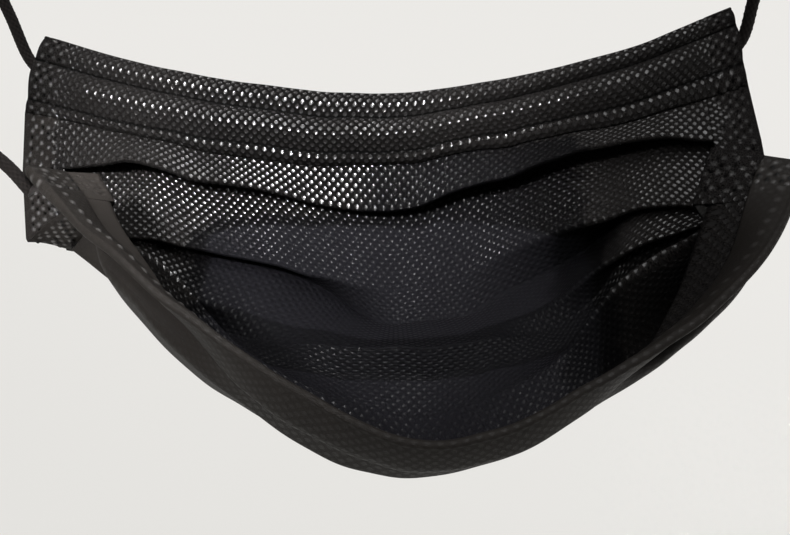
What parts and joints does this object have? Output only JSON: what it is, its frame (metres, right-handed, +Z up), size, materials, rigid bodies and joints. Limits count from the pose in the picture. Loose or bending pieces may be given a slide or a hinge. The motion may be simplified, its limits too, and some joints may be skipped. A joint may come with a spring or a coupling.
{
  "type": "disposable pleated face mask",
  "caption": "Black pleated nonwoven face mask hanging by its elastic ear loops, pulled open into a basin between its far and near hems.",
  "frame": {"origin": "halfway between the tops of the two ear loops, on the level line that the loops hang from", "axes": "+X along the mask's width from its left to its right ear loop, +Z up as it hangs, -Y towards the lower hem, which the chin reaches"},
  "size_m": [0.2283, 0.107, 0.132],
  "materials": {
    "mask_cloth": "black nonwoven with small pressed bond dots, wet and glossy in the basin",
    "binding_cloth": "black nonwoven, folded and welded along dotted lines",
    "welded_cloth": "black nonwoven, pressed flat with weld dots",
    "ear_elastic": "black knitted elastic, matte",
    "elastic_weld": "black, fused and slightly glossy",
    "nose_wire": "plain soft metal strip"
  },
  "bodies": {
    "root": {"mask_body": "mask_cloth", "top_hem": "binding_cloth", "bottom_hem": "binding_cloth", "nose_wire": "nose_wire", "side_seam_left": "welded_cloth", "side_seam_right": "welded_cloth", "ear_loop_left": "ear_elastic", "ear_loop_right": "ear_elastic", "loop_weld_far_left": "elastic_weld", "loop_weld_near_left": "elastic_weld", "loop_weld_far_right": "elastic_weld", "loop_weld_near_right": "elastic_weld"}
  },
  "joints": []
}
